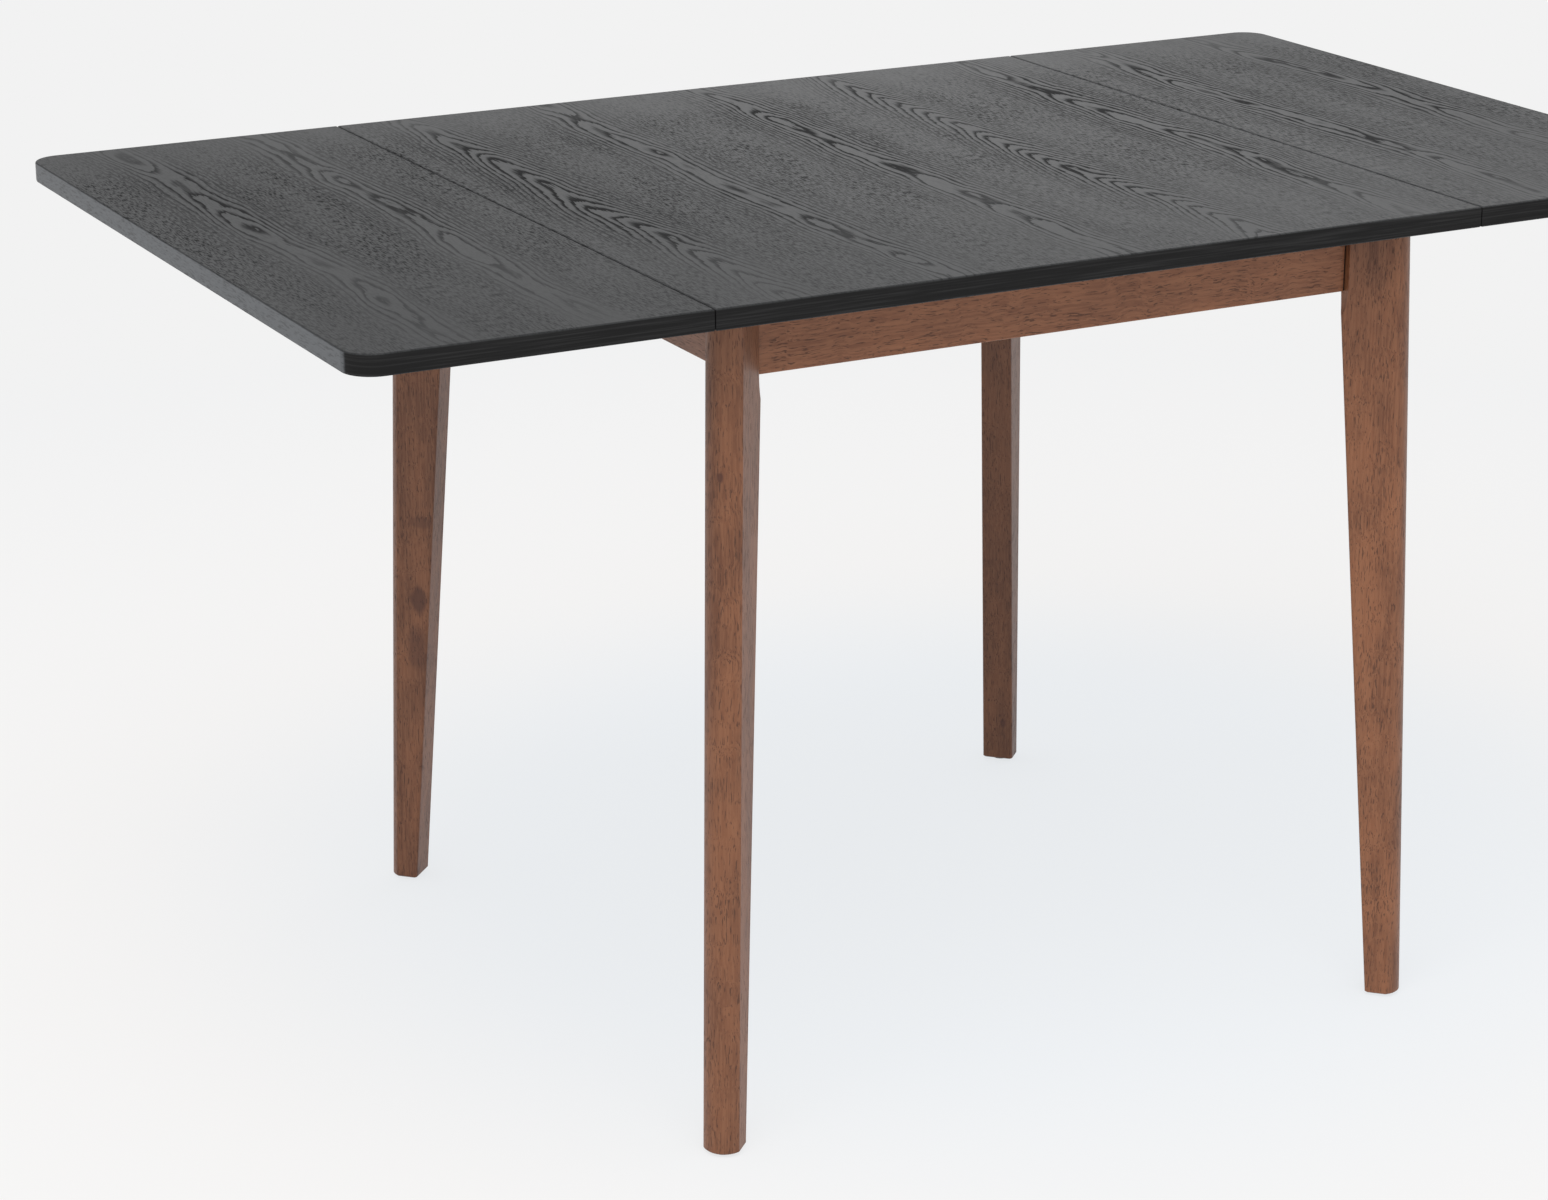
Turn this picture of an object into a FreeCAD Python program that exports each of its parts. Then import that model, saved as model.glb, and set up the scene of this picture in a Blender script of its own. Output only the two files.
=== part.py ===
import FreeCAD, Part
import PartDesign
import Sketcher
import math
import os
import re

# Drop-leaf dining table in millimetres. +X runs along the length, from one drop leaf to the other,
# +Z points up, and the origin lies on the floor under the middle of the table.

doc = FreeCAD.newDocument("drop_leaf_table")
sheet = doc.addObject("Spreadsheet::Sheet", "Dims")

# Driving sizes
SIZES = {
    "table_height": 750.0,
    "top_thick": 18.0,
    "centre_length": 740.0,
    "leaf_length": 300.0,
    "table_depth": 785.0,
    "seam_gap": 1.2,
    "corner_radius": 26.0,
    "edge_ease": 1.5,
    "apron_end_inset": 62.0,
    "apron_side_inset": 84.5,
    "apron_thick": 18.0,
    "apron_high": 66.0,
    "apron_end_cut": 10.0,
    "joint_gap": 1.0,
    "pad_thick": 2.5,
    "pad_radius": 9.0,
    "leg_width": 32.0,
    "leg_bulge": 9.0,
    "leg_proud": 40.4,
    "leg_splay": 25.5,
    "leg_deep_top": 61.5,
    "leg_deep_foot": 29.6,
    "flat_inset": 17.2,
    "runout_radius": 70.0,
    "leg_round": 2.5,
    "foot_ease": 1.2,
    "block_leg": 62.0,
    "block_high": 46.0,
    "block_drop": 8.0,
    "bolt_radius": 3.5,
    "bolt_into_leg": 28.0,
    "bolt_spread": 22.0,
    "bolt_clear": 0.4,
    "bolt_tail": 3.0,
    "washer_radius": 9.0,
    "washer_thick": 1.6,
    "nut_across": 12.0,
    "nut_high": 6.0,
    "hinge_long": 60.0,
    "hinge_reach": 30.0,
    "hinge_thick": 1.6,
    "hinge_spread": 300.0,
    "knuckle_radius": 4.0,
    "pin_radius": 1.5,
    "pin_clear": 0.05,
    "knuckle_gap": 0.3,
    "recess_clear": 0.3,
    "arm_spread": 380.0,
    "arm_drop": 30.0,
    "arm_reach": 165.0,
    "arm_wide": 14.0,
    "arm_tip_high": 11.0,
    "arm_nose": 6.0,
    "arm_root_radius": 11.0,
    "arm_pad_thick": 2.2,
    "arm_pad_long": 40.0,
    "arm_pad_inset": 6.0,
    "rest_gap": 0.3,
    "ear_thick": 2.5,
    "ear_gap": 0.4,
    "ear_radius": 10.0,
    "bracket_half": 22.0,
    "pivot_radius": 3.0,
    "pivot_head": 5.5,
    "pivot_head_thick": 1.6,
    "clip_thick": 2.0,
    "clip_leg": 24.0,
    "clip_wide": 18.0,
    "clip_spread": 260.0,
}
for row, (alias, number) in enumerate(SIZES.items(), start=1):
    sheet.set("A%d" % row, alias)
    sheet.set("B%d" % row, "%g" % number)
    sheet.setAlias("B%d" % row, alias)
doc.recompute()

QUARTER = 90
FRONT_LEFT_ANGLE = 225
SECTION_EDGES = 6
HEXAGON_SIDES = 6
KNUCKLES = 5
X_AXIS = FreeCAD.Vector(1, 0, 0)
Y_AXIS = FreeCAD.Vector(0, 1, 0)
Z_AXIS = FreeCAD.Vector(0, 0, 1)
UNDERSIDE = "table_height - top_thick"
APRON_BOTTOM = "table_height - top_thick - apron_high"
SEAM = "centre_length / 2"

# Outer faces of the aprons, measured from the middle: the end aprons and the side aprons
BASE_X = "(centre_length / 2 - apron_end_inset)"
BASE_Y = "(table_depth / 2 - apron_side_inset)"

nodes = {}


def formula(text):
    """A formula over the sheet: every size name is read from its cell."""
    return re.sub(r"\b[a-z]\w*\b(?!\()", r"Dims.\g<0>", text)


def bind(piece, formulas):
    """Drive the named properties of a piece from the sheet."""
    for name, text in formulas.items():
        piece.setExpression(name, formula(text))
    return piece


def node(name, piece):
    """Keep a finished piece under the name that its file gets."""
    piece.Label = name
    nodes[name] = piece
    return piece


def flat_sketch(body, name, level):
    """An empty sketch on a level plane of a body."""
    base = [item for item in body.Origin.OriginFeatures if item.Role == "XY_Plane"][0]
    sketch = body.newObject("Sketcher::SketchObject", name)
    sketch.AttachmentSupport = (base, "")
    sketch.MapMode = "FlatFace"
    return bind(sketch, {"AttachmentOffset.Base.z": level})


def pin_point(sketch, line, end, across, along):
    """Hold one end of a sketch line at a place given by two formulas."""
    place = sketch.getPoint(line, end)
    for kind, number, text in (("DistanceX", place.x, across), ("DistanceY", place.y, along)):
        index = sketch.addConstraint(Sketcher.Constraint(kind, line, end, number))
        sketch.setExpression("Constraints[%d]" % index, formula(text))


def close_loop(sketch, count):
    """Join each edge of a sketch to the next, and the last to the first."""
    for i in range(count):
        sketch.addConstraint(Sketcher.Constraint("Coincident", i, 2, (i + 1) % count, 1))


def plate(name, corners, level, thick, midplane=False):
    """A body padded from one outline of straight lines, whose corners are formulas over the sheet."""
    body = doc.addObject("PartDesign::Body", name)
    sketch = flat_sketch(body, name + "_outline", level)
    count = len(corners)
    step = 2 * math.pi / count
    ring = [FreeCAD.Vector(math.cos(step * i), math.sin(step * i), 0) for i in range(count)]
    for i in range(count):
        sketch.addGeometry(Part.LineSegment(ring[i], ring[(i + 1) % count]))
    close_loop(sketch, count)
    for i, (across, along) in enumerate(corners):
        pin_point(sketch, i, 1, across, along)
    pad = body.newObject("PartDesign::Pad", name + "_pad")
    pad.Profile = sketch
    pad.Midplane = midplane
    bind(pad, {"Length": thick})
    doc.recompute()
    return body


def ease(body, radius, wanted):
    """Round the edges of a body that the test picks by their boxes."""
    base = body.Tip
    names = ["Edge%d" % (i + 1) for i, edge in enumerate(base.Shape.Edges) if wanted(edge.BoundBox)]
    rounding = body.newObject("PartDesign::Fillet", body.Name + "_ease")
    rounding.Base = (base, names)
    bind(rounding, {"Radius": radius})
    doc.recompute()
    return rounding


def rod(name, radius, length):
    """A round bar along +Z, with its sizes from the sheet."""
    bar = doc.addObject("Part::Cylinder", name)
    return bind(bar, {"Radius": radius, "Height": length})


def block(name, sizes, corner):
    """A straight block from its three sizes and its lowest corner."""
    piece = doc.addObject("Part::Box", name)
    bind(piece, dict(zip(("Length", "Width", "Height"), sizes)))
    bind(piece, dict(zip(("Placement.Base.x", "Placement.Base.y", "Placement.Base.z"), corner)))
    return piece


def cut(name, base, tools):
    """A piece with tools taken away from it."""
    joined = tools[0]
    if len(tools) > 1:
        joined = fuse(name + "_tools", tools)
    result = doc.addObject("Part::Cut", name)
    result.Base = base
    result.Tool = joined
    return result


def fuse(name, pieces):
    """Several shapes grown into one piece."""
    result = doc.addObject("Part::MultiFuse", name)
    result.Shapes = pieces
    return result


def group(name, pieces):
    """Separate solids kept together under one name."""
    result = doc.addObject("Part::Compound", name)
    result.Links = pieces
    return node(name, result)


def turn(piece, quarters):
    """Turn a finished piece about the middle of the table."""
    piece.Placement = FreeCAD.Placement(FreeCAD.Vector(), FreeCAD.Rotation(Z_AXIS, quarters * QUARTER))
    return piece


def carry(tag, piece, quarters, place):
    """Turn a piece about its own datum and take that datum to its place in plan."""
    holder = doc.addObject("Part::Compound", "carried_" + tag)
    holder.Links = [piece]
    turn(holder, quarters)
    across, along = place
    return bind(holder, {"Placement.Base.x": across, "Placement.Base.y": along})


def lying(piece, formulas):
    """Lay a round bar along +Y and place its near end by formulas."""
    piece.Placement = FreeCAD.Placement(FreeCAD.Vector(), FreeCAD.Rotation(X_AXIS, -QUARTER))
    return bind(piece, {"Placement.Base." + axis: text for axis, text in formulas.items()})


def upright(body, along):
    """Stand a profile drawn about the seam's hinge line on edge, at a distance along that line."""
    body.Placement = FreeCAD.Placement(FreeCAD.Vector(), FreeCAD.Rotation(X_AXIS, QUARTER))
    return bind(body, {"Placement.Base.x": SEAM, "Placement.Base.y": along, "Placement.Base.z": UNDERSIDE})


# Legs: a D-shaped section set on the diagonal, lofted from a slim foot to a deep head.
# The datum of a corner is the upright line where the outer faces of its two aprons would meet.
def leg_section(body, name, level, deep, splay="0", inset="0"):
    """Flat inner face with rounded corners, two flat sides and a rounded outer face, along +X."""
    sketch = flat_sketch(body, name, level)
    step = SIZES.get(inset, 0.0)
    half = SIZES["leg_width"] / 2 - step
    bulge = SIZES["leg_bulge"]
    radius = (half ** 2 + bulge ** 2) / (2 * bulge)
    outer = SIZES["leg_proud"] + SIZES.get(splay, 0.0) - step
    inner = outer + 2 * step - SIZES[deep]
    corner = SIZES["leg_round"]
    sweep = math.asin(half / radius)

    def point(across, along):
        return FreeCAD.Vector(across, along, 0)

    def arc(across, along, size, start, end):
        return Part.ArcOfCircle(Part.Circle(point(across, along), Z_AXIS, size), start, end)

    edges = (
        Part.LineSegment(point(inner + corner, -half), point(outer - bulge, -half)),
        arc(outer - radius, 0, radius, -sweep, sweep),
        Part.LineSegment(point(outer - bulge, half), point(inner + corner, half)),
        arc(inner + corner, half - corner, corner, math.pi / 2, math.pi),
        Part.LineSegment(point(inner, half - corner), point(inner, corner - half)),
        arc(inner + corner, corner - half, corner, math.pi, 3 * math.pi / 2),
    )
    for edge in edges:
        sketch.addGeometry(edge)
    close_loop(sketch, SECTION_EDGES)
    near_side, crown, far_side, far_bend, inner_face, near_bend = range(SECTION_EDGES)
    face = "leg_proud + %s - %s + %s" % (splay, deep, inset)
    chord = "leg_proud + %s - %s - leg_bulge" % (splay, inset)
    side = "(leg_width / 2 - %s)" % inset
    pin_point(sketch, near_side, 1, face + " + leg_round", "-" + side)
    pin_point(sketch, near_side, 2, chord, "-" + side)
    pin_point(sketch, far_side, 1, chord, side)
    pin_point(sketch, far_side, 2, face + " + leg_round", side)
    pin_point(sketch, inner_face, 1, face, side + " - leg_round")
    pin_point(sketch, inner_face, 2, face, "leg_round - " + side)
    crown_radius = "(%s * %s + leg_bulge * leg_bulge) / (2 * leg_bulge)" % (side, side)
    bends = ((crown, radius, crown_radius), (far_bend, corner, "leg_round"), (near_bend, corner, "leg_round"))
    for bend, number, text in bends:
        index = sketch.addConstraint(Sketcher.Constraint("Radius", bend, number))
        sketch.setExpression("Constraints[%d]" % index, formula(text))
    return sketch


def leg(name, quarters, place):
    """One leg: a lofted body with an eased foot, and two flats for the apron ends with curved run-outs."""
    body = doc.addObject("PartDesign::Body", name + "_body")
    sole = leg_section(body, name + "_sole", "pad_thick", "leg_deep_foot", "leg_splay", "foot_ease")
    foot = leg_section(body, name + "_foot", "pad_thick + foot_ease", "leg_deep_foot", "leg_splay")
    head = leg_section(body, name + "_head", UNDERSIDE, "leg_deep_top")
    loft = body.newObject("PartDesign::AdditiveLoft", name + "_loft")
    loft.Profile = sole
    loft.Sections = [foot, head]
    loft.Ruled = True
    doc.recompute()
    body.Placement = FreeCAD.Placement(FreeCAD.Vector(), FreeCAD.Rotation(Z_AXIS, FRONT_LEFT_ANGLE))
    across = "2 * leg_deep_top"
    side = "flat_inset - leg_deep_top"
    flat_x = block(name + "_flat_x", (across, across, "apron_high"), ("flat_inset", side, APRON_BOTTOM))
    flat_y = block(name + "_flat_y", (across, across, "apron_high"), (side, "flat_inset", APRON_BOTTOM))
    runout_x = rod(name + "_runout_x", "runout_radius", across)
    lying(runout_x, {"x": "flat_inset + runout_radius", "y": side, "z": APRON_BOTTOM})
    runout_y = rod(name + "_runout_y", "runout_radius", across)
    runout_y.Placement = FreeCAD.Placement(FreeCAD.Vector(), FreeCAD.Rotation(Y_AXIS, QUARTER))
    bind(runout_y, {
        "Placement.Base.x": side,
        "Placement.Base.y": "flat_inset + runout_radius",
        "Placement.Base.z": APRON_BOTTOM,
    })
    piece = cut(name + "_blank", body, [flat_x, flat_y, runout_x, runout_y])
    return node(name, carry(name, piece, quarters, place))


# Aprons: straight rails whose inner end corners are cut off to leave room for the leg bolts
def apron(name, quarters, place, half_length):
    """A rail along its own X, with its outer face on its datum."""
    end = half_length + " - flat_inset - joint_gap"
    start = "-(%s)" % end
    corners = [
        (start, "0"),
        (end, "0"),
        (end, "apron_thick - apron_end_cut"),
        (end + " - apron_end_cut", "apron_thick"),
        (start + " + apron_end_cut", "apron_thick"),
        (start, "apron_thick - apron_end_cut"),
    ]
    rail = plate(name + "_rail", corners, APRON_BOTTOM, "apron_high")
    bottom = SIZES["table_height"] - SIZES["top_thick"] - SIZES["apron_high"]

    def lower_arris(box):
        return box.ZMax < bottom + SIZES["edge_ease"] and box.XLength > SIZES["apron_high"]

    ease(rail, "edge_ease", lower_arris)
    return node(name, carry(name, rail, quarters, place))


# Corner blocks: each fills the angle behind a leg, and two hanger bolts draw the leg in through it
BLOCK_LEVEL = UNDERSIDE + " - block_drop - block_high"
BLOCK_FACE = "-sqrt(2) * (apron_thick + block_leg / 2)"
TO_LEG = FreeCAD.Rotation(Z_AXIS, FreeCAD.Vector(-1, -1, 0))


def on_diagonal(piece, distance, level):
    """Lay a round piece along the diagonal, its inner end at a distance outside the corner's datum."""
    piece.Placement = FreeCAD.Placement(FreeCAD.Vector(), TO_LEG)
    place = "-(%s) / sqrt(2)" % distance
    return bind(piece, {"Placement.Base.x": place, "Placement.Base.y": place, "Placement.Base.z": level})


def corner_block(name, quarters, place, levels):
    """A triangular block with its point cut off, bored for two bolts."""
    near = "apron_thick + apron_end_cut + joint_gap"
    far = "apron_thick + block_leg"
    corners = [(near, "apron_thick"), (far, "apron_thick"), ("apron_thick", far), ("apron_thick", near)]
    body = plate(name + "_body", corners, BLOCK_LEVEL, "block_high")
    holes = []
    for i, level in enumerate(levels):
        hole = rod("%s_hole_%d" % (name, i), "bolt_radius + bolt_clear", "block_leg")
        holes.append(on_diagonal(hole, BLOCK_FACE + " - nut_high", level))
    return node(name, carry(name, cut(name + "_blank", body, holes), quarters, place))


def leg_bolt(tag, level):
    """A hanger bolt with its washer and hexagon nut."""
    start = BLOCK_FACE + " - washer_thick - nut_high - bolt_tail"
    length = "leg_proud - leg_deep_top + bolt_into_leg - (%s)" % start
    bolt = on_diagonal(rod("bolt_" + tag, "bolt_radius", length), start, level)
    seat = BLOCK_FACE + " - washer_thick"
    ring = on_diagonal(rod("ring_" + tag, "washer_radius", "washer_thick"), seat, level)
    eye = on_diagonal(rod("ring_eye_" + tag, "bolt_radius + bolt_clear", "washer_thick"), seat, level)
    washer = cut("washer_" + tag, ring, [eye])
    under = seat + " - nut_high"
    hexagon = doc.addObject("Part::Prism", "hexagon_" + tag)
    hexagon.Polygon = HEXAGON_SIDES
    bind(hexagon, {"Circumradius": "nut_across / sqrt(3)", "Height": "nut_high"})
    on_diagonal(hexagon, under, level)
    thread = on_diagonal(rod("thread_" + tag, "bolt_radius + pin_clear", "nut_high"), under, level)
    return bolt, washer, cut("nut_" + tag, hexagon, [thread])


# Top clips: small steel angles that hold the centre top down on the aprons
def top_clip(tag, along):
    """An angle in the corner between an apron's inner face and the underside of the top."""
    start = along + " - clip_wide / 2"
    wall_low = UNDERSIDE + " - clip_leg"
    shelf_low = UNDERSIDE + " - clip_thick"
    wall = block("wall_" + tag, ("clip_wide", "clip_thick", "clip_leg"), (start, "apron_thick", wall_low))
    shelf = block("shelf_" + tag, ("clip_wide", "clip_leg", "clip_thick"), (start, "apron_thick", shelf_low))
    return fuse("clip_" + tag, [wall, shelf])


CORNERS = (
    ("front_left", ("-" + BASE_X, "-" + BASE_Y)),
    ("front_right", (BASE_X, "-" + BASE_Y)),
    ("back_right", (BASE_X, BASE_Y)),
    ("back_left", ("-" + BASE_X, BASE_Y)),
)
RAILS = (
    ("front", ("0", "-" + BASE_Y), BASE_X),
    ("right", (BASE_X, "0"), BASE_Y),
    ("back", ("0", BASE_Y), BASE_X),
    ("left", ("-" + BASE_X, "0"), BASE_Y),
)
BOLT_LEVELS = [BLOCK_LEVEL + " + block_high / 2 %s bolt_spread / 2" % sign for sign in "-+"]
bolts, washers, nuts, clips, foot_pads = [], [], [], [], []

for quarters, (corner, place) in enumerate(CORNERS):
    leg("leg_" + corner, quarters, place)
    corner_block("corner_block_" + corner, quarters, place, BOLT_LEVELS)
    for i, level in enumerate(BOLT_LEVELS):
        tag = "%s_%d" % (corner, i)
        for store, piece in zip((bolts, washers, nuts), leg_bolt(tag, level)):
            store.append(carry(piece.Name, piece, quarters, place))
    foot_pad = rod("foot_pad_" + corner, "pad_radius", "pad_thick")
    middle = "-(leg_proud + leg_splay - leg_deep_foot / 2) / sqrt(2)"
    bind(foot_pad, {"Placement.Base.x": middle, "Placement.Base.y": middle})
    foot_pads.append(carry(foot_pad.Name, foot_pad, quarters, place))

for quarters, (rail, place, half_length) in enumerate(RAILS):
    apron("apron_" + rail, quarters, place, half_length)
    for i, sign in enumerate(("-", "")):
        clip = top_clip("%s_%d" % (rail, i), sign + "clip_spread / 2")
        clips.append(carry(clip.Name, clip, quarters, place))

group("leg_bolts", bolts)
group("bolt_washers", washers)
group("bolt_nuts", nuts)
group("top_clips", clips)
group("foot_pads", foot_pads)


# Tops: a square-ended centre and two leaves with rounded outer corners, hinged from below
def slab(name, near, far):
    """A flat top from one line across the table to another."""
    half = "table_depth / 2"
    corners = [(near, "-" + half), (far, "-" + half), (far, half), (near, half)]
    return plate(name, corners, UNDERSIDE, "top_thick")


def level_edges(box):
    """Edges round the upper and lower faces of a top."""
    return box.ZLength < SIZES["edge_ease"]


def outer_corners(box):
    """Upright edges at the free end of a leaf."""
    middle = (SIZES["centre_length"] + SIZES["leaf_length"]) / 2
    return box.ZLength > SIZES["edge_ease"] and box.XMin > middle


def hinge_recess(tag, along):
    """The shallow housing for one hinge, with a deeper run along the seam for its knuckles."""
    wide = "hinge_reach + recess_clear"
    deep = "knuckle_radius + recess_clear"
    corners = [
        ("-(%s)" % wide, "-joint_gap"),
        (wide, "-joint_gap"),
        (wide, "hinge_thick"),
        (deep, "hinge_thick"),
        (deep, deep),
        ("-(%s)" % deep, deep),
        ("-(%s)" % deep, "hinge_thick"),
        ("-(%s)" % wide, "hinge_thick"),
    ]
    return upright(plate("recess_" + tag, corners, "0", "hinge_long + 2 * recess_clear", True), along)


MIDDLE = ("0", "0")
HINGE_PLACES = ("-hinge_spread", "0", "hinge_spread")


def recessed(name, body, seams):
    """A top with its hinge housings cut at one seam or at both."""
    tools = []
    for quarters in seams:
        for i, along in enumerate(HINGE_PLACES):
            tag = "%s_%d_%d" % (name, quarters, i)
            tools.append(carry(tag, hinge_recess(tag, along), quarters, MIDDLE))
    return cut(name, body, tools)


RIGHT_SEAM, LEFT_SEAM = 0, 2
centre = slab("centre_slab", "-(%s) + seam_gap / 2" % SEAM, SEAM + " - seam_gap / 2")
ease(centre, "edge_ease", level_edges)
node("centre_top", recessed("centre_top", centre, (RIGHT_SEAM, LEFT_SEAM)))

LEAF_START = SEAM + " + seam_gap / 2"
for name, quarters in (("leaf_right", RIGHT_SEAM), ("leaf_left", LEFT_SEAM)):
    leaf = slab(name + "_slab", LEAF_START, LEAF_START + " + leaf_length")
    ease(leaf, "corner_radius", outer_corners)
    ease(leaf, "edge_ease", level_edges)
    node(name, turn(recessed(name, leaf, (RIGHT_SEAM,)), quarters))


# Butt hinges: five knuckles on one pin, their middle line level with the underside at the seam
KNUCKLE_STEP = "hinge_long / %d" % KNUCKLES


def hinge_half(tag, along, toward_leaf):
    """One hinge plate with its own knuckles, bored for the pin."""
    clear = "(knuckle_radius + knuckle_gap)"
    start = along + " - hinge_long / 2"
    near = SEAM + (" + " + clear if toward_leaf else " - hinge_reach")
    web_x = SEAM if toward_leaf else SEAM + " - " + clear
    long = KNUCKLE_STEP + " - knuckle_gap"
    flap_sizes = ("hinge_reach - " + clear, "hinge_long", "hinge_thick")
    pieces = [block("flap_" + tag, flap_sizes, (near, start, UNDERSIDE))]
    for i in range(int(toward_leaf), KNUCKLES, 2):
        place = "%s + %d * %s + knuckle_gap / 2" % (start, i, KNUCKLE_STEP)
        pieces.append(block("web_%s_%d" % (tag, i), (clear, long, "hinge_thick"), (web_x, place, UNDERSIDE)))
        knuckle = rod("knuckle_%s_%d" % (tag, i), "knuckle_radius", long)
        pieces.append(lying(knuckle, {"x": SEAM, "y": place, "z": UNDERSIDE}))
    bore = rod("bore_" + tag, "pin_radius + pin_clear", "hinge_long")
    lying(bore, {"x": SEAM, "y": start, "z": UNDERSIDE})
    return cut("hinge_" + tag, fuse("plate_" + tag, pieces), [bore])


for side, quarters in (("right", RIGHT_SEAM), ("left", LEFT_SEAM)):
    fixed, moving, pins = [], [], []
    for i, along in enumerate(HINGE_PLACES):
        tag = "%s_%d" % (side, i)
        fixed.append(hinge_half(tag + "_fixed", along, False))
        moving.append(hinge_half(tag + "_leaf", along, True))
        pin = rod("hinge_pin_" + tag, "pin_radius", "hinge_long")
        pins.append(lying(pin, {"x": SEAM, "y": along + " - hinge_long / 2", "z": UNDERSIDE}))
    turn(group("hinge_plates_fixed_" + side, fixed), quarters)
    turn(group("hinge_plates_leaf_" + side, moving), quarters)
    turn(group("hinge_pins_" + side, pins), quarters)


# Support arms: each turns on a fork screwed to the end apron and lies flat under its leaf
ARM_TOP = "-(rest_gap + arm_pad_thick)"
FORK_WIDE = "(arm_wide + 2 * (ear_gap + ear_thick))"
PIVOT_X = SEAM + " - arm_drop"
PIVOT_Z = UNDERSIDE + " - arm_drop"


def pivot_rod(tag, radius, length, along):
    """A round bar on the pivot line of an arm, centred on the arm."""
    start = "%s - (%s) / 2" % (along, length)
    return lying(rod(tag, radius, length), {"x": PIVOT_X, "y": start, "z": PIVOT_Z})


def support_arm(name, along, quarters):
    """A bar that tapers from a round root on the pivot to a rounded nose under the leaf."""
    low = "-arm_drop - arm_root_radius"
    corners = [
        ("-arm_drop", low),
        ("arm_reach", ARM_TOP + " - arm_tip_high"),
        ("arm_reach", ARM_TOP),
        ("-arm_drop", ARM_TOP),
        (low, "-arm_drop"),
    ]
    bar = plate(name + "_bar", corners, "0", "arm_wide", True)
    nose_level = -SIZES["rest_gap"] - SIZES["arm_pad_thick"] - SIZES["arm_tip_high"] / 2

    def nose_edge(box):
        return box.ZLength > SIZES["arm_wide"] / 2 and box.XMin > 0 and box.YMax < nose_level

    ease(bar, "arm_nose", nose_edge)
    upright(bar, along)
    boss = pivot_rod(name + "_boss", "arm_root_radius", "arm_wide", along)
    bore = pivot_rod(name + "_bore", "pivot_radius + pin_clear", "arm_wide", along)
    return node(name, turn(cut(name, fuse(name + "_blank", [bar, boss]), [bore]), quarters))


def arm_fork(name, along, quarters):
    """Back plate on the apron and two ears that carry the pivot pin."""
    corners = [
        ("-apron_end_inset", "-arm_drop - bracket_half"),
        ("-arm_drop", "-arm_drop - ear_radius"),
        ("-arm_drop", "-arm_drop + ear_radius"),
        ("-apron_end_inset", "-arm_drop + bracket_half"),
    ]
    cheeks = upright(plate(name + "_cheeks", corners, "0", FORK_WIDE, True), along)
    nose = pivot_rod(name + "_nose", "ear_radius", FORK_WIDE, along)
    wide = "(arm_wide + 2 * ear_gap)"
    half_high = "(bracket_half + joint_gap)"
    slot_sizes = ("apron_end_inset", wide, "2 * " + half_high)
    slot_corner = (BASE_X + " + ear_thick", "%s - %s / 2" % (along, wide), PIVOT_Z + " - " + half_high)
    slot = block(name + "_slot", slot_sizes, slot_corner)
    bore = pivot_rod(name + "_bore", "pivot_radius", FORK_WIDE, along)
    return node(name, turn(cut(name, fuse(name + "_blank", [cheeks, nose]), [slot, bore]), quarters))


def arm_pin(name, along, quarters):
    """A pivot pin with a flat head outside each ear."""
    pieces = [pivot_rod(name + "_shank", "pivot_radius - pin_clear", FORK_WIDE, along)]
    far_side = "%s + %s / 2" % (along, FORK_WIDE)
    near_side = "%s - %s / 2 - pivot_head_thick" % (along, FORK_WIDE)
    for i, start in enumerate((far_side, near_side)):
        head = rod("%s_head_%d" % (name, i), "pivot_head", "pivot_head_thick")
        pieces.append(lying(head, {"x": PIVOT_X, "y": start, "z": PIVOT_Z}))
    return node(name, turn(fuse(name, pieces), quarters))


def arm_pad(name, along, quarters):
    """Felt strip glued on the arm where the leaf rests."""
    start = SEAM + " + arm_reach - arm_pad_inset - arm_pad_long"
    corner = (start, along + " - arm_wide / 2", "%s + (%s)" % (UNDERSIDE, ARM_TOP))
    strip = block(name + "_strip", ("arm_pad_long", "arm_wide", "arm_pad_thick"), corner)
    return node(name, carry(name, strip, quarters, MIDDLE))


ARM_PLACES = ("-arm_spread / 2", "arm_spread / 2")
ARM_SIDES = (
    ("right", RIGHT_SEAM, ("front", "back")),
    ("left", LEFT_SEAM, ("back", "front")),
)
for side, quarters, ends in ARM_SIDES:
    for end, along in zip(ends, ARM_PLACES):
        tag = "%s_%s" % (side, end)
        support_arm("support_arm_" + tag, along, quarters)
        arm_fork("arm_fork_" + tag, along, quarters)
        arm_pin("arm_pin_" + tag, along, quarters)
        arm_pad("arm_pad_" + tag, along, quarters)

doc.recompute()

# Every object has to be sound before anything is written
for item in doc.Objects:
    if "Invalid" in item.State or "Error" in item.State:
        raise RuntimeError("%s did not build: %s" % (item.Label, item.State))
for name, piece in nodes.items():
    if piece.Shape.isNull() or not piece.Shape.isValid():
        raise RuntimeError("%s is not a sound shape" % name)

os.makedirs("parts", exist_ok=True)
for name, piece in nodes.items():
    piece.Shape.exportStep(os.path.join("parts", name + ".step"))
    box = piece.Shape.BoundBox
    counted = (name, len(piece.Shape.Solids), piece.Shape.Volume, box.ZMin, box.ZMax)
    print("%-28s solids %2d  volume %9.0f  z %.1f to %.1f" % counted)
print("nodes", len(nodes))
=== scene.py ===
# %% [markdown]
# A drop-leaf dining table with a black-stained ash top and walnut-stained legs.
# The joinery and every moving piece come in as a finished frame, already at their real size. This lesson
# adds what the eye reads first: the figure of the veneer, the pores of the hardwood, the metal and felt
# underneath, and the screws.

# %% The frame
import math
import bmesh
import bpy
from mathutils import Matrix, Vector


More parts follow.
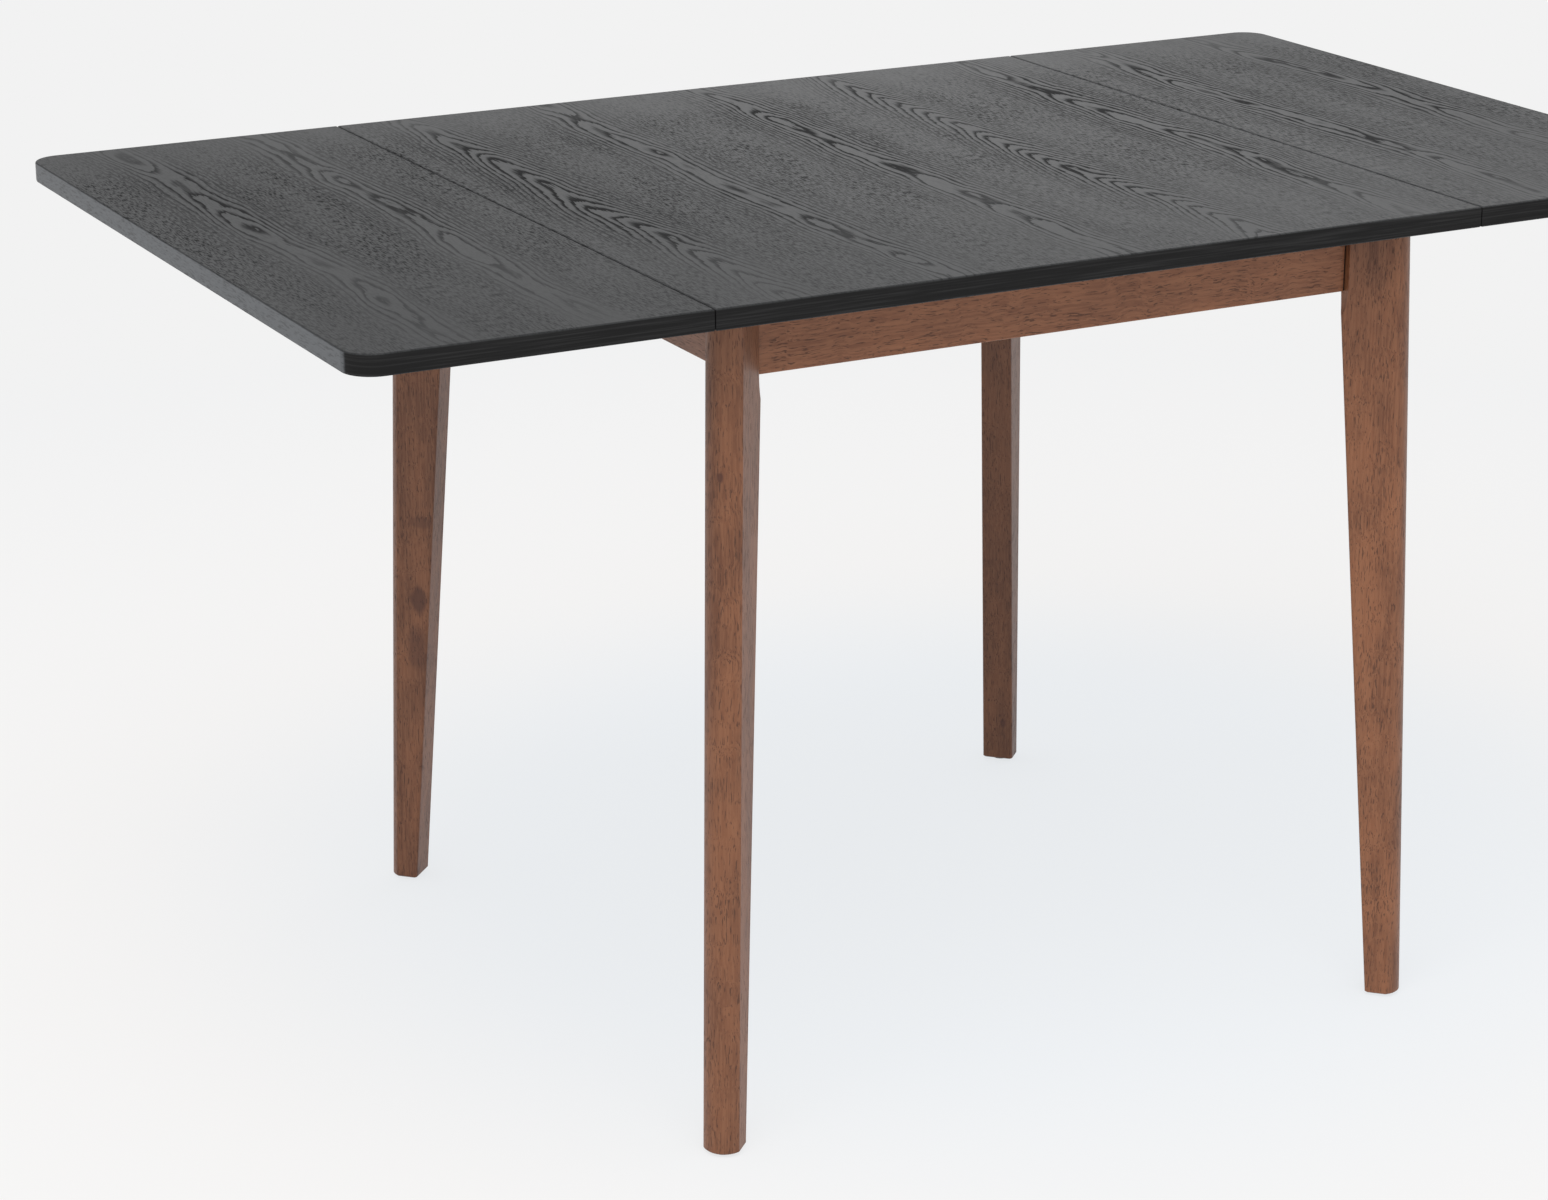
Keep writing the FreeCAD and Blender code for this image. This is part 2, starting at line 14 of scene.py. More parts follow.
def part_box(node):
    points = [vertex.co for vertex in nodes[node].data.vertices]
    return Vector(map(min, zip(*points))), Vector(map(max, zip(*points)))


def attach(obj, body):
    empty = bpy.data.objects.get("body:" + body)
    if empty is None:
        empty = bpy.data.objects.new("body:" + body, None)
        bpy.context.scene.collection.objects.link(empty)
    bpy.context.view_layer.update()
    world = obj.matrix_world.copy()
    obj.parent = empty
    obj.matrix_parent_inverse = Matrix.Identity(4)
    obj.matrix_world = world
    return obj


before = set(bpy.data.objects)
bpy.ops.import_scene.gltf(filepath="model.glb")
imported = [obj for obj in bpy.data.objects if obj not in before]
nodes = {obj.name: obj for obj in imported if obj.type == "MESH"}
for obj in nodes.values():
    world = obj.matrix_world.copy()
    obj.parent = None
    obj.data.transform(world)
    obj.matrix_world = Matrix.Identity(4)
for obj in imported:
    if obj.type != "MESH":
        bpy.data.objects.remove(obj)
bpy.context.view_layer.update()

# %% [markdown]
# The camera stands in front and to the left, about twice as high as the top, and looks down along a long
# lens. A wide lens close by would also fit the table in, but it would shrink the far legs. The long lens
# keeps them nearly as tall as the near ones. The small sideways shift slides the picture without turning
# the camera.

# %% Camera
PHOTO_WIDTH = 1548
FOCAL_PIXELS = 3866
PRINCIPAL_COLUMN = 808.2
SENSOR = 36.0
CAMERA_PLACE = (-1.685, -2.984, 1.499)
CAMERA_AZIMUTH = -28.32
CAMERA_PITCH = -18.76

camera_data = bpy.data.cameras.new("camera")
camera_data.sensor_width = SENSOR
camera_data.lens = SENSOR * FOCAL_PIXELS / PHOTO_WIDTH
camera_data.shift_x = (PHOTO_WIDTH / 2 - PRINCIPAL_COLUMN) / PHOTO_WIDTH
camera = bpy.data.objects.new("camera", camera_data)
camera.location = CAMERA_PLACE
camera.rotation_euler = (math.radians(90 + CAMERA_PITCH), 0, math.radians(CAMERA_AZIMUTH))
bpy.context.scene.collection.objects.link(camera)
bpy.context.scene.camera = camera
print("lens", round(camera_data.lens, 1), "mm")

# %% [markdown]
# Materials here are drawn by small formulas over the object's own coordinates. A picture of wood could be
# wrapped round each piece instead, but a formula keeps its real size on every board and stays put when a
# leaf swings. These helpers place nodes and hand back the output, so the recipes below read like
# arithmetic.

# %% Arithmetic with nodes
def connect(tree, socket, value):
    """Link a socket to another node's output, or set it to a plain value."""
    if isinstance(value, bpy.types.NodeSocket):
        tree.links.new(value, socket)
    else:
        socket.default_value = value


def calc(tree, operation, first, second=0.0):
    """One step of arithmetic."""
    step = tree.nodes.new("ShaderNodeMath")
    step.operation = operation
    connect(tree, step.inputs[0], first)
    connect(tree, step.inputs[1], second)
    return step.outputs[0]


def total(tree, *numbers):
    """Several numbers added up."""
    result = numbers[0]
    for number in numbers[1:]:
        result = calc(tree, "ADD", result, number)
    return result


def product(tree, *numbers):
    """Several numbers multiplied together."""
    result = numbers[0]
    for number in numbers[1:]:
        result = calc(tree, "MULTIPLY", result, number)
    return result


def rest_of(tree, share):
    """What is left of 1."""
    return calc(tree, "SUBTRACT", 1.0, share)


print("arithmetic ready")

# %% [markdown]
# Most patterns need a soft switch: one value below a first number, another above a second, and a smooth
# change between them. A hard step would leave jagged edges. A colour ramp could do it too, but Map Range
# takes plain numbers. A named range further down holds them in the order of smooth_step: low, high, and
# where these aren't 0 and 1, what it gives below low and above high.

# %% Soft switch
def smooth_step(tree, value, low, high, start=0.0, end=1.0):
    """A soft switch: start below low, end above high."""
    step = tree.nodes.new("ShaderNodeMapRange")
    step.interpolation_type = "SMOOTHSTEP"
    numbers = {"Value": value, "From Min": low, "From Max": high, "To Min": start, "To Max": end}
    for name, number in numbers.items():
        connect(tree, step.inputs[name], number)
    return step.outputs[0]


print("soft switch ready")

# %% [markdown]
# Wood is never even, so most recipes start from soft noise, whose spots are round. Multiplying the place
# by a number for each axis squeezes the spots or draws them out, and that alone turns clouds into grain.
# So every pattern below is described by its spots to the metre along each axis.

# %% Places and soft noise
DETAIL = 2.0
FINE_DETAIL = 3.0


def point(tree, x, y, z):
    """Three numbers put together as a place."""
    step = tree.nodes.new("ShaderNodeCombineXYZ")
    for socket, value in zip(step.inputs, (x, y, z)):
        connect(tree, socket, value)
    return step.outputs[0]


def split(tree, vector):
    """A place taken apart into three numbers."""
    step = tree.nodes.new("ShaderNodeSeparateXYZ")
    connect(tree, step.inputs[0], vector)
    return step.outputs


def stretched(tree, vector, scale):
    """The same place, multiplied along each axis."""
    step = tree.nodes.new("ShaderNodeVectorMath")
    step.operation = "MULTIPLY"
    connect(tree, step.inputs[0], vector)
    connect(tree, step.inputs[1], scale)
    return step.outputs[0]


def cloud(tree, vector, spots, detail=DETAIL):
    """Soft random numbers about a half, with so many spots to the metre along each axis."""
    step = tree.nodes.new("ShaderNodeTexNoise")
    connect(tree, step.inputs["Vector"], stretched(tree, vector, spots))
    step.inputs["Scale"].default_value = 1.0
    step.inputs["Detail"].default_value = detail
    return step.outputs[0]


def drift(tree, vector, spots, reach):
    """Soft random numbers about zero, at most half of reach either way."""
    return product(tree, calc(tree, "SUBTRACT", cloud(tree, vector, spots), 0.5), reach)


print("noise ready")

# %% [markdown]
# A pattern that several materials share is kept in a node group, which is a recipe with named inputs and
# outputs. It could be copied into each material, but then every correction would be made many times.

# %% Recipes
def node_group(name, inputs, outputs):
    """An empty recipe, to be filled in and used in several materials."""
    tree = bpy.data.node_groups.new(name, "ShaderNodeTree")
    for label, kind, value in inputs:
        socket = tree.interface.new_socket(label, in_out="INPUT", socket_type="NodeSocket" + kind)
        if value is not None:
            socket.default_value = value
    for label in outputs:
        tree.interface.new_socket(label, in_out="OUTPUT", socket_type="NodeSocketFloat")
    return tree, tree.nodes.new("NodeGroupInput").outputs, tree.nodes.new("NodeGroupOutput").inputs


print("recipes ready")

# %% [markdown]
# Ash veneer shows cathedral figure: tall nested arches up the middle of each strip, straight lines at its
# sides. Both come from one cause. The log is a stack of slightly tapered cones, and the knife cuts a flat
# slice beside the heart. The arches could be drawn one by one as curves. Counting rings is less work and
# never repeats: measure how far a point lies from the heart, add the taper along the strip, divide by the
# spacing of the rings, and let soft noise make them swell, wander and ripple.

# %% Ash rings
RING_SPACING = 0.0047
HEART_DEPTH = 0.015
TAPER_LEAST = 0.008
TAPER_MOST = 0.19
TAPER_BIAS = 3.0
FIGURE_EDGE = 0.034
SWELL = ((9.0, 5.0, 0.0), 7.0)
SWELL_REACH = (0.004, FIGURE_EDGE, 1.0, 0.12)
WANDER = ((50.0, 9.0, 0.0), 1.5)
RIPPLE = ((520.0, 42.0, 0.0), 0.7)


def ash_rings(tree, side, along, chance):
    """Where a point lies within its ring, from 0 at the ring's dark start to 1."""
    squares = total(tree, product(tree, side, side), HEART_DEPTH ** 2)
    from_heart = calc(tree, "SQRT", squares)
    steepness = product(tree, calc(tree, "POWER", chance, TAPER_BIAS), TAPER_MOST)
    taper = product(tree, along, total(tree, steepness, TAPER_LEAST))
    count = calc(tree, "DIVIDE", total(tree, from_heart, taper), RING_SPACING)
    place = point(tree, side, along, 0.0)
    near = smooth_step(tree, calc(tree, "ABSOLUTE", side), *SWELL_REACH)
    swell = product(tree, drift(tree, place, *SWELL), near)
    wander = drift(tree, place, *WANDER)
    ripple = drift(tree, place, *RIPPLE)
    return calc(tree, "FRACT", total(tree, count, swell, wander, ripple))


print("ash rings every", RING_SPACING * 1000, "mm")

# %% [markdown]
# The veneer lies in strips side by side, each from another stretch of the log. A list of strips could hold
# numbers for each one. Here a White Noise node rolls three dice for the strip's own whole number instead:
# how steep its taper is, where its heart lies and how dark it is. The heart also sways along the strip.

# %% Veneer strips
STRIP_WIDTH = 0.148
NEXT_STRETCH = 3.7
HEART_SPREAD = 0.045
HEART_SWAY = ((0.0, 3.0, 0.0), 0.045)


def dice(tree, number):
    """Three random numbers that belong to one whole number."""
    step = tree.nodes.new("ShaderNodeTexWhiteNoise")
    step.noise_dimensions = "1D"
    connect(tree, step.inputs["W"], number)
    return split(tree, step.outputs["Color"])


def veneer_strip(tree, given):
    """A point's share across its strip, its side of the heart, its place along and the strip's dice."""
    x, y, _ = split(tree, given["Vector"])
    across = calc(tree, "DIVIDE", calc(tree, "SUBTRACT", x, given["Strip Start"]), STRIP_WIDTH)
    share = calc(tree, "SUBTRACT", calc(tree, "FRACT", across), 0.5)
    row = total(tree, calc(tree, "FLOOR", across), given["Seed"])
    chance = dice(tree, row)
    along = total(tree, y, product(tree, row, NEXT_STRETCH))
    offset = product(tree, calc(tree, "SUBTRACT", chance[1], 0.5), HEART_SPREAD)
    sway = drift(tree, point(tree, 0.0, along, 0.0), *HEART_SWAY)
    side = total(tree, product(tree, share, STRIP_WIDTH), offset, sway)
    return share, side, along, chance


print("veneer strips", STRIP_WIDTH * 1000, "mm wide")

# %% [markdown]
# Each ring of ash starts with a dark, porous band of spring wood and fades into hard summer wood. So a ring
# line is sharp on one side and soft on the other, and two switches on the place within the ring draw it.
# The lines are boldest near the heart, where they make the arches, and weak in the straight grain at the
# sides. Slow patches keep them from being even.

# %% Ring lines
FIGURE_CORE = 0.012
GRAIN_EDGE = 0.062
RING_FADES = (0.0, 0.55, 1.0, 0.0)
RING_STARTS = (0.88, 1.0)
CORE_LINES = (FIGURE_CORE, FIGURE_EDGE, 1.0, 0.6)
SIDE_LINES = (FIGURE_EDGE, GRAIN_EDGE, 1.0, 0.24)
PATCH_SPOTS = (7.0, 3.2, 1.0)
PATCH_RANGE = (0.32, 0.62, 0.6, 1.0)


def ring_lines(tree, vector, reach, ring):
    """Dark lines, from how far a point lies beside the heart and where it lies within its ring."""
    fading = smooth_step(tree, ring, *RING_FADES)
    starting = smooth_step(tree, ring, *RING_STARTS)
    lines = calc(tree, "MAXIMUM", fading, starting)
    core = smooth_step(tree, reach, *CORE_LINES)
    sides = smooth_step(tree, reach, *SIDE_LINES)
    patch = smooth_step(tree, cloud(tree, vector, PATCH_SPOTS), *PATCH_RANGE)
    return product(tree, lines, core, sides, patch)


print("lines are weak from", GRAIN_EDGE * 1000, "mm beside the heart")

# %% [markdown]
# Between the figures the knife has opened the wood's vessels, which take the most stain: short dashes along
# the grain, with longer faint streaks among them. Each dash could be a small groove in the mesh, but there
# are far too many. Squeezed noise behind a narrow switch draws them all. They crowd and thin out slowly,
# and the core of the figure stays almost clear of them.

# %% Open pores
PORE_SPOTS = (860.0, 105.0, 860.0)
PORE_RANGE = (0.46, 0.60)
PORE_SHARE = 0.80
STREAK_SPOTS = (330.0, 15.0, 330.0)
STREAK_RANGE = (0.42, 0.66)
STREAK_SHARE = 0.22
CROWD_SPOTS = (26.0, 9.0, 26.0)
CROWD_RANGE = (0.30, 0.70, 0.66, 1.0)
CLEAR_CORE = (FIGURE_CORE, FIGURE_EDGE, 0.25, 1.0)


def open_pores(tree, vector, reach):
    """Dark dashes and streaks, fewer near the heart."""
    dashes = smooth_step(tree, cloud(tree, vector, PORE_SPOTS), *PORE_RANGE)
    streaks = smooth_step(tree, cloud(tree, vector, STREAK_SPOTS), *STREAK_RANGE)
    grain = total(tree, product(tree, dashes, PORE_SHARE), product(tree, streaks, STREAK_SHARE))
    crowd = smooth_step(tree, cloud(tree, vector, CROWD_SPOTS, FINE_DETAIL), *CROWD_RANGE)
    clear = smooth_step(tree, reach, *CLEAR_CORE)
    return product(tree, grain, crowd, clear)


print("pores", PORE_SPOTS[0], "to the metre across and", PORE_SPOTS[1], "along")

# %% [markdown]
# Now the masks come together in one group: the lines, the pores, a tone for each strip and the fine joint
# between two strips. Towards the front and back edges the grain is better filled, so lines and pores fade
# there, and at the front an even tone takes their place. The masks leave the group as they are, and the
# material decides what each one does to colour and gloss.

# %% Ash figure
SMOOTH_SHARE = 0.45
FILLED_TONE = 0.32
FRONT_OPENS = (-0.42, 0.05, SMOOTH_SHARE, 1.0)
BACK_CLOSES = (0.22, 0.385, 1.0, SMOOTH_SHARE)
STRIP_JOINT = (0.496, 0.4995)


def ash_figure():
    inputs = (("Vector", "Vector", None), ("Strip Start", "Float", 0.0), ("Seed", "Float", 0.0))
    tree, given, out = node_group("ash_figure", inputs, ("Rings", "Pores", "Strip Tone", "Joint"))
    vector = given["Vector"]
    share, side, along, chance = veneer_strip(tree, given)
    reach = calc(tree, "ABSOLUTE", side)
    depth = split(tree, vector)[1]
    front = smooth_step(tree, depth, *FRONT_OPENS)
    open_wood = product(tree, front, smooth_step(tree, depth, *BACK_CLOSES))
    filled = product(tree, rest_of(tree, front), FILLED_TONE)
    lines = ring_lines(tree, vector, reach, ash_rings(tree, side, along, chance[0]))
    pores = open_pores(tree, vector, reach)
    connect(tree, out["Rings"], product(tree, lines, open_wood))
    connect(tree, out["Pores"], total(tree, product(tree, pores, open_wood), filled))
    connect(tree, out["Strip Tone"], chance[2])
    connect(tree, out["Joint"], smooth_step(tree, calc(tree, "ABSOLUTE", share), *STRIP_JOINT))
    return tree


ASH_FIGURE = ash_figure()
print("ash figure", len(ASH_FIGURE.nodes), "nodes")

# %% [markdown]
# Stained hardwood has three scales of pattern: slow bands of lighter and darker wood, a fine grain, and
# short dark flecks where pores were cut open. One recipe makes all three along its own Z axis, a little
# wavy, as a board is. Each material turns it with a Mapping node, because legs grow upwards and rails lie
# along their length.

# %% Hardwood grain
GRAIN_WAVE = ((14.0, 14.0, 24.0), 0.016)
BAND_SPOTS = (30.0, 30.0, 3.2)
BAND_SHARE = 0.55
BLOTCH_SPOTS = (38.0, 38.0, 17.0)
BLOTCH_SHARE = 0.45
BAND_RANGE = (0.37, 0.63)
FINE_SPOTS = (520.0, 520.0, 18.0)
FINE_RANGE = (0.32, 0.68)
FLECK_SPOTS = (980.0, 980.0, 80.0)
FLECK_CROWDS = (45.0, 45.0, 14.0)
FLECK_LIMIT = 0.658
FLECK_GATHER = 0.17
FLECK_RANGE = (0.0, 0.075)


def hardwood_grain():
    inputs = (("Vector", "Vector", None),)
    tree, given, out = node_group("hardwood_grain", inputs, ("Bands", "Grain", "Flecks"))
    vector = given["Vector"]
    x, y, z = split(tree, vector)
    wave = drift(tree, vector, *GRAIN_WAVE)
    wavy = point(tree, total(tree, x, wave), total(tree, y, wave), z)
    slow = product(tree, cloud(tree, wavy, BAND_SPOTS, FINE_DETAIL), BAND_SHARE)
    blotch = product(tree, cloud(tree, vector, BLOTCH_SPOTS), BLOTCH_SHARE)
    connect(tree, out["Bands"], smooth_step(tree, total(tree, slow, blotch), *BAND_RANGE))
    connect(tree, out["Grain"], smooth_step(tree, cloud(tree, wavy, FINE_SPOTS, FINE_DETAIL), *FINE_RANGE))
    crowd = product(tree, cloud(tree, vector, FLECK_CROWDS), FLECK_GATHER)
    limit = calc(tree, "SUBTRACT", FLECK_LIMIT, crowd)
    above = calc(tree, "SUBTRACT", cloud(tree, wavy, FLECK_SPOTS), limit)
    connect(tree, out["Flecks"], smooth_step(tree, above, *FLECK_RANGE))
    return tree


HARDWOOD_GRAIN = hardwood_grain()
print("hardwood grain", len(HARDWOOD_GRAIN.nodes), "nodes")

# %% [markdown]
# A third recipe serves metal, paint and felt: fine fibres or brushing whose direction the material chooses,
# and broad uneven patches. One flat colour would be quicker, but zinc and steel are never one even grey,
# and felt is a mat of short threads.

# %% Brushed and matted surfaces
MOTTLE_RANGE = (0.3, 0.7)
BROAD_SPOTS = (45.0, 45.0, 45.0)
EVEN_SPOTS = (400.0, 400.0, 400.0)


def surface_mottle():
    inputs = (("Vector", "Vector", None), ("Spots", "Vector", EVEN_SPOTS))
    tree, given, out = node_group("surface_mottle", inputs, ("Fine", "Broad"))
    fine = cloud(tree, given["Vector"], given["Spots"], FINE_DETAIL)
    broad = cloud(tree, given["Vector"], BROAD_SPOTS)
    connect(tree, out["Fine"], smooth_step(tree, fine, *MOTTLE_RANGE))
    connect(tree, out["Broad"], smooth_step(tree, broad, *MOTTLE_RANGE))
    return tree


SURFACE_MOTTLE = surface_mottle()
print("mottle", len(SURFACE_MOTTLE.nodes), "nodes")

# %% [markdown]
# Each material below starts the same way: a Principled shader and the object's own coordinates, turned
# where the pattern has to follow the piece. Numbers that are equal all over go straight onto the shader. A
# surface could be unwrapped instead, but boards have no wrapping: their grain runs through the solid.

# %% Starting a material
def material(name, turn=(0, 0, 0), **values):
    """A new material, its tree, its shader and its turned object coordinates."""
    made = bpy.data.materials.new(name)
    made.use_nodes = True
    tree = made.node_tree
    shader = tree.nodes["Principled BSDF"]
    for label, value in values.items():
        shader.inputs[label.replace("_", " ")].default_value = value
    place = tree.nodes.new("ShaderNodeTexCoord").outputs["Object"]
    mapping = tree.nodes.new("ShaderNodeMapping")
    mapping.inputs["Rotation"].default_value = [math.radians(angle) for angle in turn]
    tree.links.new(place, mapping.inputs["Vector"])
    return made, tree, shader, mapping.outputs[0]


def use(tree, group, vector, **values):
    """One recipe placed in a material."""
    step = tree.nodes.new("ShaderNodeGroup")
    step.node_tree = group
    connect(tree, step.inputs["Vector"], vector)
    for label, value in values.items():
        connect(tree, step.inputs[label.replace("_", " ")], value)
    return step.outputs


print("materials can start")

# %% [markdown]
# A pattern mostly reaches the shader as a choice between two colours, as roughness or as bump. A bump only
# bends the light, which is enough for pores a fraction of a millimetre deep. Cutting them into the mesh
# would take millions of faces.

# %% Patterns on the shader
def tint(tree, factor, first, second):
    """A colour between two others."""
    step = tree.nodes.new("ShaderNodeMix")
    step.data_type = "RGBA"
    step.clamp_factor = True
    connect(tree, step.inputs[0], factor)
    connect(tree, step.inputs[6], first)
    connect(tree, step.inputs[7], second)
    return step.outputs[2]


def roughen(tree, shader, mask, smooth, rough):
    """Let a mask run the roughness from smooth to rough."""
    tree.links.new(smooth_step(tree, mask, 0.0, 1.0, smooth, rough), shader.inputs["Roughness"])


def raise_bump(tree, shader, height, strength, distance):
    """Let a pattern stand up from the surface a little."""
    bump = tree.nodes.new("ShaderNodeBump")
    bump.inputs["Strength"].default_value = strength
    bump.inputs["Distance"].default_value = distance
    connect(tree, bump.inputs["Height"], height)
    tree.links.new(bump.outputs[0], shader.inputs["Normal"])


print("patterns can reach the shader")

# %% [markdown]
# The edges of the top are lipped with thin solid wood: black with faint streaks along the sides, greyer and
# speckled across the two ends, where the grey is painted sheen for the gloss the ends show at a low angle.
# The lipping could be a piece of its own, but it is flush with the veneer, so a colour chosen by place looks
# the same and leaves no seam to fit. Height tells face from edge, because it is measured on the piece and
# still holds when a leaf hangs down.

# %% Lipping
TOP_LOW, TOP_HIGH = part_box("centre_top")
TABLE_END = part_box("leaf_right")[1].x
ARRIS = 0.0015
END_ROUND = 0.0012
EDGE_BLACK = (0.0122, 0.0120, 0.0120, 1)
EDGE_STREAK = (0.0250, 0.0245, 0.0245, 1)
EDGE_SPOTS = (14.0, 14.0, 900.0)
EDGE_RANGE = (0.42, 0.72)
# The lighter grey and its flecks across the two ends are painted sheen, not a lighter wood.
END_SHEEN_GREY = (0.088, 0.093, 0.099, 1)
END_SHEEN_FLECK = (0.040, 0.042, 0.045, 1)
END_SPOTS = (120.0, 120.0, 900.0)
END_RANGE = (0.50, 0.66)


def veneered(tree, height):
    """1 on the faces above and below, 0 on the edges between them."""
    above = smooth_step(tree, height, TOP_HIGH.z - ARRIS, TOP_HIGH.z - ARRIS / 3)
    below = smooth_step(tree, height, TOP_LOW.z + ARRIS / 3, TOP_LOW.z + ARRIS, 1.0, 0.0)
    return calc(tree, "MAXIMUM", above, below)


def table_end(tree, x):
    """1 on the two ends of the table, 0 elsewhere."""
    from_middle = calc(tree, "ABSOLUTE", x)
    return smooth_step(tree, from_middle, TABLE_END - END_ROUND, TABLE_END - END_ROUND / 6)


def lipping_and_end_sheen(tree, place, end):
    """The colour of the edges, by how far a point belongs to an end; the lighter grey of the ends is painted
    sheen.
    """
    streaks = smooth_step(tree, cloud(tree, place, EDGE_SPOTS, FINE_DETAIL), *EDGE_RANGE)
    flecks = smooth_step(tree, cloud(tree, place, END_SPOTS, FINE_DETAIL), *END_RANGE)
    side_edge = tint(tree, streaks, EDGE_BLACK, EDGE_STREAK)
    return tint(tree, end, side_edge, tint(tree, flecks, END_SHEEN_GREY, END_SHEEN_FLECK))


print("top", round((TOP_HIGH.z - TOP_LOW.z) * 1000, 1), "mm thick")

# %% [markdown]
# The top is ash stained black under a thin lacquer. The stain sinks into the open rings and pores, which
# stay matt, and the hard wood between them keeps the gloss. So one mask drives the colour, the weight of
# the coat, the roughness and the bump together. From a low angle the gloss counts for more than the colour.
# The shader's own specular is even all over, so it is kept low, and the coat, which follows the mask,
# carries the gloss.

# %% Black-stained ash
ASH_LIGHT = (0.040, 0.041, 0.042, 1)
ASH_DARK = (0.0075, 0.0075, 0.008, 1)
JOINT_STAIN = 0.4
FACE_STAIN = 0.88
TONE_SPREAD = 0.12
COAT_LOSS = 0.88
EDGE_LACQUER = 0.08
END_LACQUER = 0.50
ASH_ROUGHNESS = (0.46, 0.72)
ASH_BUMP = (0.3, 0.0003)


def black_ash(name, strip_start, seed, lacquer, span, boldness, depth):
    made, tree, shader, place = material(name, Specular_IOR_Level=0.03, Coat_Roughness=0.34)
    figure = use(tree, ASH_FIGURE, place, Strip_Start=strip_start, Seed=seed)
    dark = calc(tree, "MAXIMUM", product(tree, figure["Rings"], boldness), figure["Pores"])
    dark = calc(tree, "MAXIMUM", dark, product(tree, figure["Joint"], JOINT_STAIN))
    dark = calc(tree, "MINIMUM", dark, 1.0)
    # The strip's tone with depth added; on the left leaf depth is painted shade.
    tone_and_shade = total(tree, product(tree, figure["Strip Tone"], TONE_SPREAD), depth)
    face = tint(tree, total(tree, product(tree, dark, FACE_STAIN), tone_and_shade), ASH_LIGHT, ASH_DARK)
    x, _, height = split(tree, place)
    flat = veneered(tree, height)
    end = table_end(tree, x)
    tree.links.new(tint(tree, flat, lipping_and_end_sheen(tree, place, end), face), shader.inputs["Base Color"])
    film = smooth_step(tree, x, *span, *lacquer)
    face_coat = product(tree, rest_of(tree, product(tree, dark, COAT_LOSS)), film)
    edge_coat = smooth_step(tree, end, 0.0, 1.0, EDGE_LACQUER, END_LACQUER)
    coat = total(tree, product(tree, flat, face_coat), product(tree, rest_of(tree, flat), edge_coat))
    tree.links.new(coat, shader.inputs["Coat Weight"])
    roughen(tree, shader, dark, *ASH_ROUGHNESS)
    raise_bump(tree, shader, product(tree, rest_of(tree, dark), flat), *ASH_BUMP)
    return made


print("stain covers", FACE_STAIN, "of the way from grey to black")

# %% [markdown]
# Each part of the top takes its own stretch of veneer, from its seed, and its own first strip. lacquer is
# the weight of the film at the two places along the length that span gives, and it changes slowly between
# them. boldness strengthens the ring lines, and depth darkens the stain; on the left leaf this darkening is
# painted shade, for the darker reflection that leaf shows. One finish for all three would be less to write,
# but then the leaves would look cut from the same strip.

# %% Three parts of the top
TOPS = {
    "leaf_left": dict(
        strip_start=-0.670,
        seed=21.0,
        lacquer=(0.24, 0.32),
        span=(-0.62, -0.35),
        boldness=1.0,
        # depth here is painted shade: the left leaf is darkened for its darker reflection.
        depth=0.06,
    ),
    "centre_top": dict(
        strip_start=-0.370,
        seed=3.0,
        lacquer=(0.33, 0.54),
        span=(-0.40, 0.12),
        boldness=1.45,
        depth=0.0,
    ),
    "leaf_right": dict(
        strip_start=0.372,
        seed=40.0,
        lacquer=(0.54, 0.42),
        span=(0.36, 0.60),
        boldness=1.25,
        depth=0.0,
    ),
}
ASH = {name: black_ash("black_ash_" + name, **numbers) for name, numbers in TOPS.items()}
print("ash finishes", len(ASH))

# %% [markdown]
# Two marks make a board look like one board and not like a pattern. A knot is a dark oval with a ragged
# rim, and a rail ends in a dark line, partly where the end grain drinks the stain and partly painted shade
# for the gap between rail and leg. Both could be thin pieces laid on the wood. As masks they follow the
# rounded faces by themselves.

# %% Knots and joint lines
KNOT_BROWN = (0.068, 0.020, 0.011, 1)
KNOT_RAGGED = ((120.0, 120.0, 70.0), 0.7)
KNOT_RIM = (0.55, 1.1)
JOINT_LINE_AND_GAP_SHADE = (0.010, 0.005, 0.004, 1)
JOINT_WIDTH = 0.0013


def length_from(tree, vector, middle, scale=(1, 1, 1)):
    """How far a place lies from a middle, after scale along each axis."""
    step = tree.nodes.new("ShaderNodeVectorMath")
    step.operation = "SUBTRACT"
    connect(tree, step.inputs[0], vector)
    step.inputs[1].default_value = middle
    away = tree.nodes.new("ShaderNodeVectorMath")
    away.operation = "LENGTH"
    connect(tree, away.inputs[0], stretched(tree, step.outputs[0], scale))
    return away.outputs["Value"]


def knot(tree, place, middle, half_width, half_height, depth):
    """One dark oval with a soft, ragged rim."""
    reach = length_from(tree, place, middle, (1 / half_width, 1 / half_width, 1 / half_height))
    ragged = total(tree, reach, drift(tree, place, *KNOT_RAGGED))
    return smooth_step(tree, ragged, *KNOT_RIM, depth, 0.0)


def joint_line_and_gap_shade(tree, place, board):
    """1 on a dark line round each end of a rail: end-grain stain and painted shade of the gap at the leg."""
    low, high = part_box(board)
    half_length = max(high.x - low.x, high.y - low.y) / 2
    from_middle = calc(tree, "ABSOLUTE", split(tree, place)[2])
    return smooth_step(tree, from_middle, half_length - JOINT_WIDTH, half_length - JOINT_WIDTH / 2)


print("joint lines", JOINT_WIDTH * 1000, "mm wide")

# %% [markdown]
# The legs and rails are a mid-brown hardwood with a walnut stain and a satin lacquer. Colour runs between
# three browns by band and grain, and flecks go nearly black. One finish for all would make eight boards
# from one plank, so each leg and rail has a finish of its own: the way its grain runs, its tone, how
# strongly it is banded, and its knots. A knot's row gives its middle, half its width, half its height and
# how dark it is.

